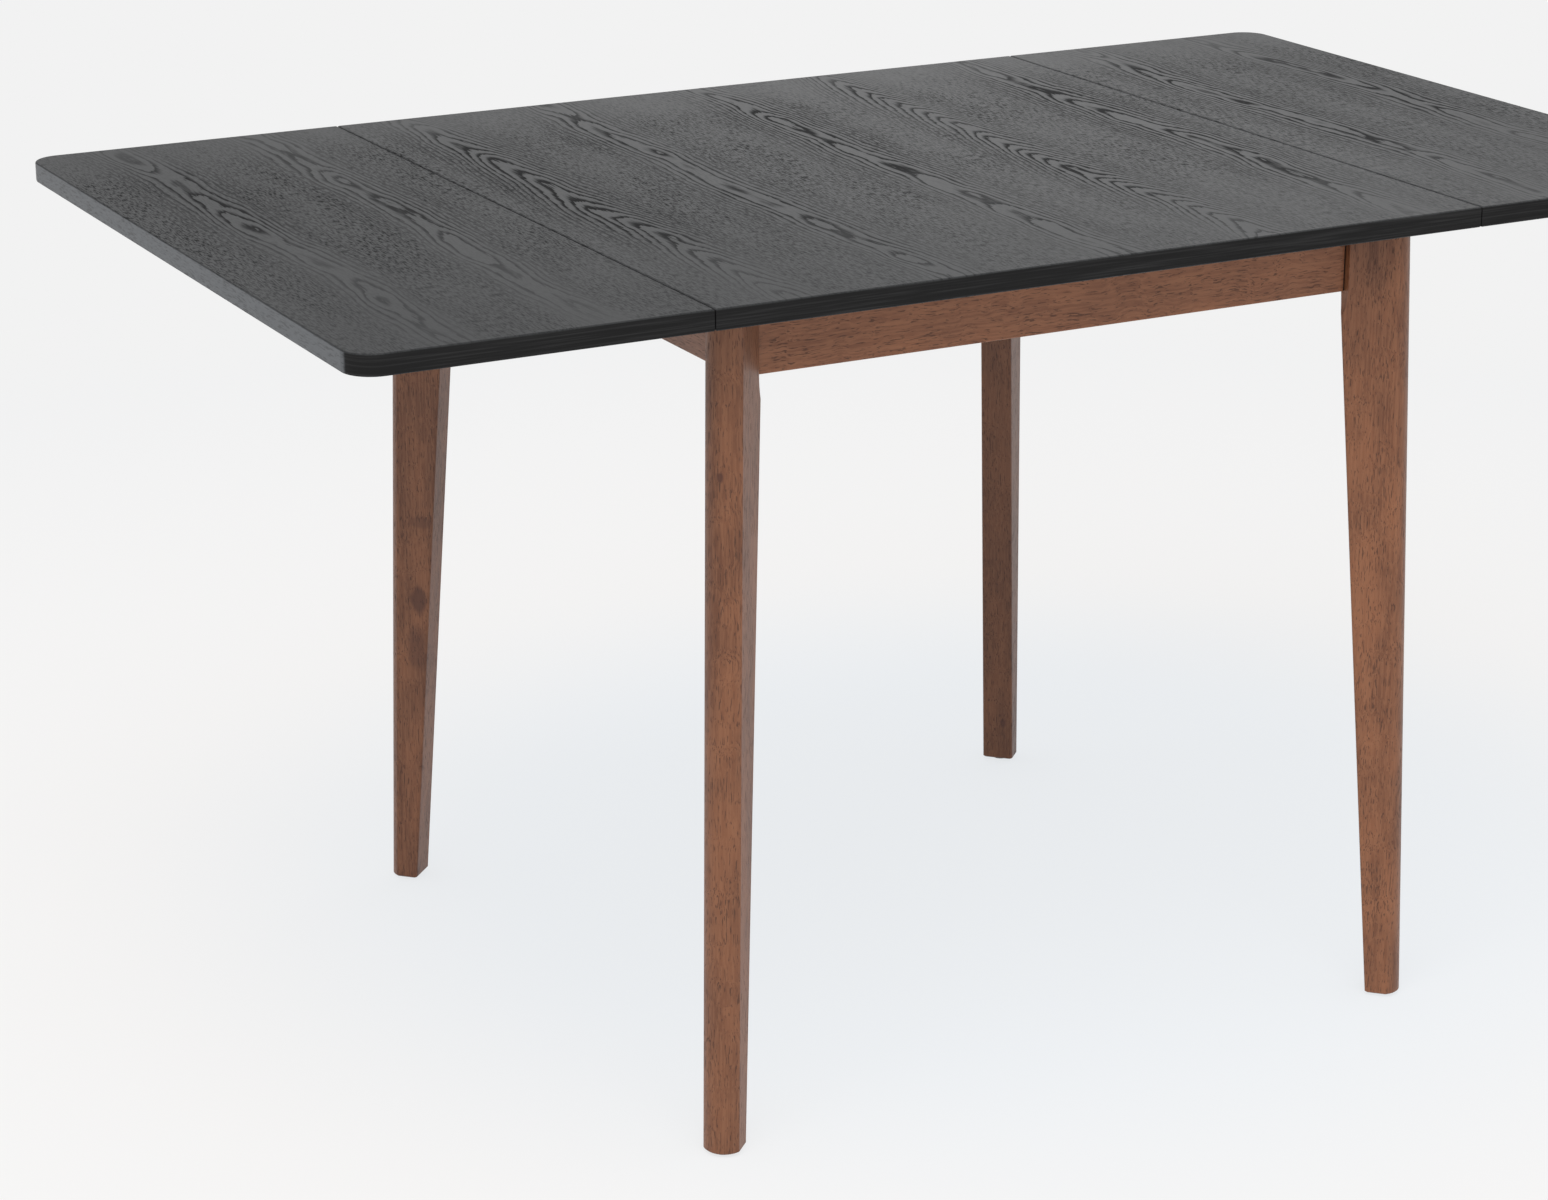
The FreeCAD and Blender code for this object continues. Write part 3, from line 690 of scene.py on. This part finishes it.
# %% Walnut stain
WALNUT_DEEP = (0.127, 0.043, 0.0178, 1)
WALNUT_MID = (0.235, 0.087, 0.0365, 1)
WALNUT_PALE = (0.312, 0.133, 0.062, 1)
WALNUT_FLECK = (0.052, 0.021, 0.0125, 1)
EVEN_BAND = 0.55
PALE_SHARE = 0.42
FLECK_SHARE = 0.7
WALNUT_ROUGHNESS = (0.4, 0.62)
WALNUT_BUMP = (0.25, 0.0002)
ALONG = {"upright": (0, 0, 0), "length": (0, 90, 0), "depth": (90, 0, 0)}
KNOTS = {
    "leg_front_left": (((-0.3403, -0.3396, 0.5949), 0.0032, 0.0050, 0.80),),
    "leg_back_right": (((0.3359, 0.3269, 0.0445), 0.0035, 0.0055, 0.75),),
    "leg_back_left": (
        ((-0.3360, 0.3133, 0.2957), 0.0095, 0.0160, 0.75),
        ((-0.3387, 0.3160, 0.2440), 0.0120, 0.0260, 0.50),
        ((-0.3333, 0.3106, 0.3753), 0.0130, 0.0070, 0.40),
    ),
}


def toned_and_shaded(colour, tone_and_shade):
    """The same colour on a paler or darker board, or darkened as painted shade."""
    return (*(tone_and_shade * value for value in colour[:3]), 1)


def walnut(board, way, tone_and_shade, banding):
    made, tree, shader, place = material("walnut_" + board, ALONG[way], Specular_IOR_Level=0.42)
    grain = use(tree, HARDWOOD_GRAIN, place)
    bands = total(tree, product(tree, grain["Bands"], banding), EVEN_BAND * (1 - banding))
    brown = tint(tree, bands, toned_and_shaded(WALNUT_DEEP, tone_and_shade), toned_and_shaded(WALNUT_MID, tone_and_shade))
    brown = tint(tree, product(tree, grain["Grain"], PALE_SHARE), brown, toned_and_shaded(WALNUT_PALE, tone_and_shade))
    for numbers in KNOTS.get(board, ()):
        brown = tint(tree, knot(tree, place, *numbers), brown, KNOT_BROWN)
    brown = tint(tree, product(tree, grain["Flecks"], FLECK_SHARE), brown, WALNUT_FLECK)
    # The dark line at each rail end is partly end-grain stain and partly painted shade of the gap at the leg.
    if board.startswith("apron"):
        brown = tint(tree, joint_line_and_gap_shade(tree, place, board), brown, JOINT_LINE_AND_GAP_SHADE)
    tree.links.new(brown, shader.inputs["Base Color"])
    roughen(tree, shader, grain["Flecks"], *WALNUT_ROUGHNESS)
    raise_bump(tree, shader, rest_of(tree, grain["Flecks"]), *WALNUT_BUMP)
    return made


print("knots", sum(len(knots) for knots in KNOTS.values()))

# %% [markdown]
# The table below is the pile of boards. Its columns are the start of a piece's name, the way of the grain,
# the tone, which on the back-right leg is lowered as painted shade, and the strength of the banding. The
# rails are calmer than the legs.

# %% Walnut boards
BOARDS = (
    ("leg_front_left", "upright", 0.89, 0.85),
    ("leg_front_right", "upright", 1.00, 1.00),
    # The back-right leg's low tone is painted shade, for the shade it stands in under the table.
    ("leg_back_right", "upright", 0.68, 0.80),
    ("leg_back_left", "upright", 0.89, 0.90),
    ("apron_front", "length", 1.19, 0.50),
    ("apron_back", "length", 1.16, 0.50),
    ("apron_left", "depth", 1.00, 0.50),
    ("apron_right", "depth", 1.00, 0.50),
    ("support_arm", "length", 1.12, 0.70),
)
WALNUT = {board[0]: walnut(*board) for board in BOARDS}
print("walnut boards", len(WALNUT))

# %% [markdown]
# Nobody stains what nobody sees, so the corner blocks under the top are raw beech. It has the same three
# scales of pattern as the legs, so the same recipe serves, in paler colours and with a duller surface.

# %% Raw beech
BEECH_DEEP = (0.36, 0.21, 0.105, 1)
BEECH_PALE = (0.52, 0.34, 0.19, 1)
BEECH_FLECK = (0.20, 0.105, 0.05, 1)


def mean(tree, first, second):
    """Halfway between two numbers."""
    return product(tree, total(tree, first, second), 0.5)


def raw_beech(name, turn):
    made, tree, shader, place = material(name, turn, Specular_IOR_Level=0.3)
    grain = use(tree, HARDWOOD_GRAIN, place)
    wood = tint(tree, mean(tree, grain["Bands"], grain["Grain"]), BEECH_DEEP, BEECH_PALE)
    tree.links.new(tint(tree, grain["Flecks"], wood, BEECH_FLECK), shader.inputs["Base Color"])
    roughen(tree, shader, grain["Grain"], smooth=0.6, rough=0.74)
    raise_bump(tree, shader, grain["Grain"], strength=0.15, distance=0.0002)
    return made


BEECH = raw_beech("raw_beech", ALONG["length"])
print("beech ready")

# %% [markdown]
# Bolts, nuts and angles are zinc plated, hinges are bright steel brushed along their length, and screws are
# a darker steel. One plain grey metal could serve them all, but side by side they would look like one
# casting. They differ in their numbers and not in their make, so one short function is enough.

# %% Metal
METAL_ROUGHER = 0.14


def metal(name, dark, light, spots, smooth):
    made, tree, shader, place = material(name, Metallic=1.0)
    mottle = use(tree, SURFACE_MOTTLE, place, Spots=spots)
    mix = mean(tree, mottle["Fine"], mottle["Broad"])
    tree.links.new(tint(tree, mix, dark, light), shader.inputs["Base Color"])
    roughen(tree, shader, mottle["Broad"], smooth, smooth + METAL_ROUGHER)
    raise_bump(tree, shader, mottle["Fine"], strength=0.08, distance=0.0001)
    return made


ZINC = metal(
    "zinc_plate",
    dark=(0.42, 0.43, 0.44, 1),
    light=(0.62, 0.63, 0.63, 1),
    spots=(500.0, 500.0, 500.0),
    smooth=0.3,
)
HINGE = metal(
    "hinge_metal",
    dark=(0.45, 0.44, 0.42, 1),
    light=(0.66, 0.65, 0.62, 1),
    spots=(900.0, 60.0, 900.0),
    smooth=0.24,
)
SCREW = metal(
    "screw_metal",
    dark=(0.34, 0.33, 0.31, 1),
    light=(0.56, 0.55, 0.52, 1),
    spots=(700.0, 700.0, 700.0),
    smooth=0.28,
)
print("metals ready")

# %% [markdown]
# The forks are painted dark, and the feet and the ends of the arms wear felt. Both are the mottle again:
# on paint its fine spots are a faint orange peel, and on felt they are the threads, which show in colour
# and stand up. A hair system could grow real threads, but on pads this thin nobody would see them.

# %% Paint and felt
def painted(name, dark, light, spots):
    made, tree, shader, place = material(name, Specular_IOR_Level=0.45)
    mottle = use(tree, SURFACE_MOTTLE, place, Spots=spots)
    tree.links.new(tint(tree, mottle["Broad"], dark, light), shader.inputs["Base Color"])
    roughen(tree, shader, mottle["Fine"], smooth=0.38, rough=0.52)
    raise_bump(tree, shader, mottle["Fine"], strength=0.2, distance=0.0001)
    return made


def felt(name, dark, light, spots):
    made, tree, shader, place = material(name, Specular_IOR_Level=0.1, Sheen_Weight=0.3)
    mottle = use(tree, SURFACE_MOTTLE, place, Spots=spots)
    tree.links.new(tint(tree, mottle["Fine"], dark, light), shader.inputs["Base Color"])
    roughen(tree, shader, mottle["Broad"], smooth=0.86, rough=0.98)
    raise_bump(tree, shader, mottle["Fine"], strength=0.7, distance=0.0006)
    return made


FORK = painted(
    "dark_paint",
    dark=(0.018, 0.018, 0.019, 1),
    light=(0.028, 0.028, 0.029, 1),
    spots=(1300.0, 1300.0, 1300.0),
)
FELT = felt(
    "felt_mat",
    dark=(0.030, 0.026, 0.023, 1),
    light=(0.075, 0.066, 0.058, 1),
    spots=(1500.0, 1500.0, 600.0),
)
print("paint and felt ready")

# %% [markdown]
# Now every piece of the frame takes its finish. Materials could be set piece by piece, but the start of a
# piece's name says what it is, so one short table does the work.

# %% Finishes on the frame
FINISHES = (
    *ASH.items(),
    *WALNUT.items(),
    ("leg_bolts", ZINC),
    ("bolt_", ZINC),
    ("top_clips", ZINC),
    ("arm_pin", ZINC),
    ("arm_fork", FORK),
    ("arm_pad", FELT),
    ("foot_pads", FELT),
    ("hinge_", HINGE),
    ("corner_block", BEECH),
)

for name, piece in nodes.items():
    finish = next(made for start, made in FINISHES if name.startswith(start))
    for slot in piece.material_slots:
        slot.material = finish
print("finished", len(nodes), "frame pieces")

# %% [markdown]
# A wood screw has a cross in its head for the driver. It could be cut with a Boolean, but a few mesh
# operators leave cleaner faces: four straight cuts over the level top of the head mark out the cross, and
# its faces are pushed down.

# %% Cross of a screw
CROSS_DEPTH = 0.7
LEVEL_SHARE = 0.999


def corners_of(geometry):
    """The vertices among the results of an operator."""
    return [item for item in geometry if isinstance(item, bmesh.types.BMVert)]


def level_faces(bm, height):
    """The faces that lie at the top of the head."""
    return [f for f in bm.faces if min(v.co.z for v in f.verts) > height * LEVEL_SHARE]


def mark_cross(bm, rise, half_width):
    """Four straight cuts across the top of the head."""
    for normal in (Vector((1, 0, 0)), Vector((0, 1, 0))):
        for place in (-half_width, half_width):
            parts = dict.fromkeys(item for f in level_faces(bm, rise) for item in (f, *f.edges, *f.verts))
            bmesh.ops.bisect_plane(bm, geom=list(parts), plane_co=normal * place, plane_no=normal)


def push_cross(bm, rise, half_width, reach):
    """Push the faces of the cross down into the head."""
    cross = []
    for f in level_faces(bm, rise):
        middle = f.calc_center_median()
        within = max(v.co.length for v in f.verts) < reach + rise
        if within and min(abs(middle.x), abs(middle.y)) < half_width / 2 and middle.xy.length < reach:
            cross.append(f)
    pushed = bmesh.ops.extrude_face_region(bm, geom=cross)["geom"]
    bmesh.ops.delete(bm, geom=cross, context="FACES")
    bmesh.ops.translate(bm, vec=(0, 0, -rise * CROSS_DEPTH), verts=corners_of(pushed))


print("a cross goes", CROSS_DEPTH, "of the way down")

# %% [markdown]
# The head is a shallow dome: a disc, extruded and bevelled, with its middle inset for the cross. A squashed
# ball would be rounder, but a real head is flat on top and round at its rim. All sizes are shares of the
# head's radius or of its rise, so one function makes every screw.

# %% Screw head
HEAD_SIDES = 20
HEAD_RISE = 0.42
DOME_SHARE = 0.8
DOME_STEPS = 3
CROWN_INSET = 0.06
CROSS_HALF_WIDTH = 0.13
CROSS_REACH = 0.56


def screw_head(radius):
    """One head on the origin, its seat at z = 0 and its cross facing +Z."""
    bm = bmesh.new()
    rise = radius * HEAD_RISE
    half_width = radius * CROSS_HALF_WIDTH
    bmesh.ops.create_circle(bm, cap_ends=True, radius=radius, segments=HEAD_SIDES)
    top = bmesh.ops.extrude_face_region(bm, geom=list(bm.faces))["geom"]
    bmesh.ops.translate(bm, vec=(0, 0, rise), verts=corners_of(top))
    rim = [e for e in bm.edges if all(v.co.z > rise / 2 for v in e.verts)]
    bmesh.ops.bevel(
        bm, geom=rim, offset=rise * DOME_SHARE, affect="EDGES", segments=DOME_STEPS, profile=0.5, material=-1)
    crown = max(bm.faces, key=lambda f: f.calc_center_median().z)
    bmesh.ops.inset_region(bm, faces=[crown], thickness=radius * CROWN_INSET)
    mark_cross(bm, rise, half_width)
    push_cross(bm, rise, half_width, radius * CROSS_REACH)
    bmesh.ops.recalc_face_normals(bm, faces=bm.faces)
    return bm


HINGE_HEAD = screw_head(radius=0.0034)
ANGLE_HEAD = screw_head(radius=0.0032)
FORK_HEAD = screw_head(radius=0.0036)
print("screw head", len(HINGE_HEAD.faces), "faces")

# %% [markdown]
# One head is made once and then stamped at every place. An object for each screw would do too, but screws
# that move together are simpler as one piece. Each head is turned a little further than the last, because
# no fitter stops every cross at the same angle.

# %% Stamping screws
TWIST_STEP = 37


def stamp(name, head, places, body):
    """The same head at several places, each a point and the way its cross faces, as one piece."""
    heads = bmesh.new()
    scrap = bpy.data.meshes.new("scrap")
    for count, (place, facing) in enumerate(places):
        copy = head.copy()
        turn = Vector(facing).to_track_quat("Z", "Y").to_matrix().to_4x4()
        twist = Matrix.Rotation(math.radians(TWIST_STEP * count), 4, "Z")
        bmesh.ops.transform(copy, matrix=Matrix.Translation(place) @ turn @ twist, verts=copy.verts)
        copy.to_mesh(scrap)
        heads.from_mesh(scrap)
        copy.free()
    bpy.data.meshes.remove(scrap)
    mesh = bpy.data.meshes.new(name)
    heads.to_mesh(mesh)
    heads.free()
    mesh.materials.append(SCREW)
    piece = bpy.data.objects.new(name, mesh)
    bpy.context.scene.collection.objects.link(piece)
    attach(piece, body)
    print(name, len(places), "screws", len(mesh.polygons), "faces")


print("crosses turn", TWIST_STEP, "degrees from screw to screw")

# %% [markdown]
# Three screws hold each hinge plate, staggered so that they don't split the wood along one line. They face
# down. Their places could be typed in, but worked out from the plates' own boxes they follow the frame.

# %% Hinge screws
HINGE_LONG = 0.060
PLATE_INSET = 0.009
STAGGER = 0.006
DOWN = (0, 0, -1)
UNDERSIDE = TOP_LOW.z
SIDES = (("left", -1), ("right", 1))


def hinge_screws(node, outward):
    """Places on the three plates of one seam. outward points from the knuckles to the free edge."""
    low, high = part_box(node)
    free_edge = high.x if outward > 0 else low.x
    places = []
    for middle in (low.y + HINGE_LONG / 2, (low.y + high.y) / 2, high.y - HINGE_LONG / 2):
        for step in (-1, 0, 1):
            inset = PLATE_INSET + (STAGGER if step == 0 else 0)
            across = free_edge - outward * inset
            places.append((Vector((across, middle + step * HINGE_LONG / 3, UNDERSIDE)), DOWN))
    return places


for side, outward in SIDES:
    on_leaf = hinge_screws("hinge_plates_leaf_" + side, outward)
    on_base = hinge_screws("hinge_plates_fixed_" + side, -outward)
    stamp("hinge_screws_leaf_" + side, HINGE_HEAD, on_leaf, "leaf_" + side)
    stamp("hinge_screws_fixed_" + side, HINGE_HEAD, on_base, "base")

# %% [markdown]
# Each steel angle has one screw up into the top and one into the rail. The rails' inner faces and the
# underside give the places, so one loop over the four rails serves all eight angles.

# %% Angle screws
CLIP_SPREAD = 0.260
CLIP_LEG = 0.024
CLIP_THICK = 0.002
CLIP_SCREW_SHARE = 0.62
RAILS = (("front", 1, 1), ("back", 1, -1), ("left", 0, 1), ("right", 0, -1))


def angle_screws():
    """Two screws on each of the eight angles, from the inner faces of the rails."""
    places = []
    out = CLIP_LEG * CLIP_SCREW_SHARE
    for rail, axis, inward in RAILS:
        low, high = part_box("apron_" + rail)
        face = (high if inward > 0 else low)[axis]
        inwards = Vector((0, 0, 0))
        inwards[axis] = inward
        screws = ((CLIP_THICK, out, DOWN), (out, CLIP_THICK, inwards))
        for along in (-CLIP_SPREAD / 2, CLIP_SPREAD / 2):
            for drop, reach, facing in screws:
                place = Vector((along, along, UNDERSIDE - drop))
                place[axis] = face + inward * reach
                places.append((place, facing))
    return places


stamp("angle_screws", ANGLE_HEAD, angle_screws(), "base")

# %% [markdown]
# Each fork has two screws through its back plate, above and below the pivot, where the arm leaves room for
# them. The fork's own box gives the plate and the middle.

# %% Fork screws
EAR_THICK = 0.0025
FORK_SCREW_SPREAD = 0.029


def fork_screws():
    """Two screws on the back plate of each fork."""
    places = []
    for side, outward in SIDES:
        for end in ("front", "back"):
            low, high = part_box("arm_fork_%s_%s" % (side, end))
            plate = (low.x if outward > 0 else high.x) + outward * EAR_THICK
            middle = (low + high) / 2
            for step in (-1, 1):
                place = Vector((plate, middle.y, middle.z + step * FORK_SCREW_SPREAD / 2))
                places.append((place, (outward, 0, 0)))
    return places


stamp("fork_screws", FORK_HEAD, fork_screws(), "base")

# %% [markdown]
# The table stands in a plain pale studio. A white floor could be made by more light, but that would bleach
# the wood. Light Path tells which ray is asking, so what the camera and the gloss see can be set apart
# from the light that falls on the table.

# %% Rays and mixed shaders
def seen_plainly(tree):
    """1 for rays from the camera, a gloss or glass, and 0 for the rays that carry the light about."""
    ray = tree.nodes.new("ShaderNodeLightPath").outputs
    seen = calc(tree, "MAXIMUM", ray["Is Camera Ray"], ray["Is Glossy Ray"])
    return calc(tree, "MAXIMUM", seen, ray["Is Transmission Ray"])


def blend(tree, factor, first, second):
    """Two shaders mixed."""
    step = tree.nodes.new("ShaderNodeMixShader")
    connect(tree, step.inputs[0], factor)
    tree.links.new(first.outputs[0], step.inputs[1])
    tree.links.new(second.outputs[0], step.inputs[2])
    return step


print("rays ready")

# %% [markdown]
# Near the table the floor is a matt surface that takes the soft shadows, and far away it fades to the same
# pale grey as the backdrop, so no horizon shows. To the camera and in gloss it is mostly an even grey, with
# a painted shade, cooler and darker, under the table and a little to its right and back, and with only a
# share of the real shadow, as on white paper. The light that bounces off it still comes from the matt
# surface. From below the floor is clear to the camera, so that the underside can be looked at.

# %% Floor finish
PALE_GREY = (0.888, 0.888, 0.888, 1)
NEAR_GREY = (0.918, 0.907, 0.897, 1)
# A cooler, darker grey under the table, painted shade on the floor's glow.
PAINTED_SHADE_GREY = (0.866, 0.891, 0.915, 1)
MATT_GREY = (0.880, 0.887, 0.895, 1)
SHADE_MIDDLE = (0.20, 0.13, 0.0)
SHADE_RANGE = (0.45, 0.95)
SHADOW_SHARE = 0.16
FLOOR_MIDDLE = (0.0, 0.0, 0.0)
FADE_RANGE = (0.9, 2.6)


def pale_floor():
    made = bpy.data.materials.new("pale_floor")
    made.use_nodes = True
    tree = made.node_tree
    tree.nodes.remove(tree.nodes["Principled BSDF"])
    place = tree.nodes.new("ShaderNodeTexCoord").outputs["Object"]
    matt = tree.nodes.new("ShaderNodeBsdfDiffuse")
    matt.inputs["Color"].default_value = MATT_GREY
    glow = tree.nodes.new("ShaderNodeEmission")
    open_floor = smooth_step(tree, length_from(tree, place, SHADE_MIDDLE), *SHADE_RANGE)
    far = smooth_step(tree, length_from(tree, place, FLOOR_MIDDLE), *FADE_RANGE)
    # The glow near the table turns to the painted shade round SHADE_MIDDLE.
    near = tint(tree, open_floor, PAINTED_SHADE_GREY, NEAR_GREY)
    tree.links.new(tint(tree, far, near, PALE_GREY), glow.inputs["Color"])
    plain = product(tree, seen_plainly(tree), 1.0 - SHADOW_SHARE)
    paper = blend(tree, calc(tree, "MAXIMUM", far, plain), matt, glow)
    camera_ray = tree.nodes.new("ShaderNodeLightPath").outputs["Is Camera Ray"]
    behind = tree.nodes.new("ShaderNodeNewGeometry").outputs["Backfacing"]
    clear = tree.nodes.new("ShaderNodeBsdfTransparent")
    one_sided = blend(tree, product(tree, camera_ray, behind), paper, clear)
    tree.links.new(one_sided.outputs[0], tree.nodes["Material Output"].inputs["Surface"])
    return made


print("floor keeps", SHADOW_SHARE, "of the shadow")

# %% [markdown]
# The floor itself is one large face. A curved studio sweep would hide the horizon too, but the fade in the
# finish already does.

# %% Floor
FLOOR_SIZE = 40.0

floor_bm = bmesh.new()
bmesh.ops.create_grid(floor_bm, x_segments=1, y_segments=1, size=FLOOR_SIZE / 2)
floor_mesh = bpy.data.meshes.new("floor")
floor_bm.to_mesh(floor_mesh)
floor_bm.free()
floor_mesh.materials.append(pale_floor())
floor = bpy.data.objects.new("floor", floor_mesh)
bpy.context.scene.collection.objects.link(floor)
print("floor", FLOOR_SIZE, "m wide")

# %% [markdown]
# The light is a white room: an even fill from all round, and one wide soft panel overhead, in front and to
# the left, which shades the faces gently. Several small lamps would each throw a shadow of its own. The
# camera, gloss and glass see the plain pale backdrop, and the fill that lights the matt surfaces is set
# apart from it with Light Path.

# %% Light
FILL = (0.79, 0.805, 0.83, 1)
PANEL_PLACE = (-1.2, -1.6, 3.4)
PANEL_AIM = (0, 0, 0.4)
PANEL_SIZE = 3.2
PANEL_POWER = 80.0


def backdrop():
    world = bpy.data.worlds.new("studio")
    bpy.context.scene.world = world
    world.use_nodes = True
    tree = world.node_tree
    colour = tint(tree, seen_plainly(tree), FILL, PALE_GREY)
    tree.links.new(colour, tree.nodes["Background"].inputs["Color"])


def overhead_panel():
    light = bpy.data.lights.new("overhead_panel", "AREA")
    light.shape = "DISK"
    light.size = PANEL_SIZE
    light.energy = PANEL_POWER
    lamp = bpy.data.objects.new("overhead_panel", light)
    lamp.location = PANEL_PLACE
    aim = Vector(PANEL_AIM) - Vector(PANEL_PLACE)
    lamp.rotation_euler = aim.to_track_quat("-Z", "Y").to_euler()
    bpy.context.scene.collection.objects.link(lamp)


backdrop()
overhead_panel()
bpy.context.scene.view_settings.view_transform = "Standard"
print("panel", PANEL_SIZE, "m wide,", PANEL_POWER, "watts")
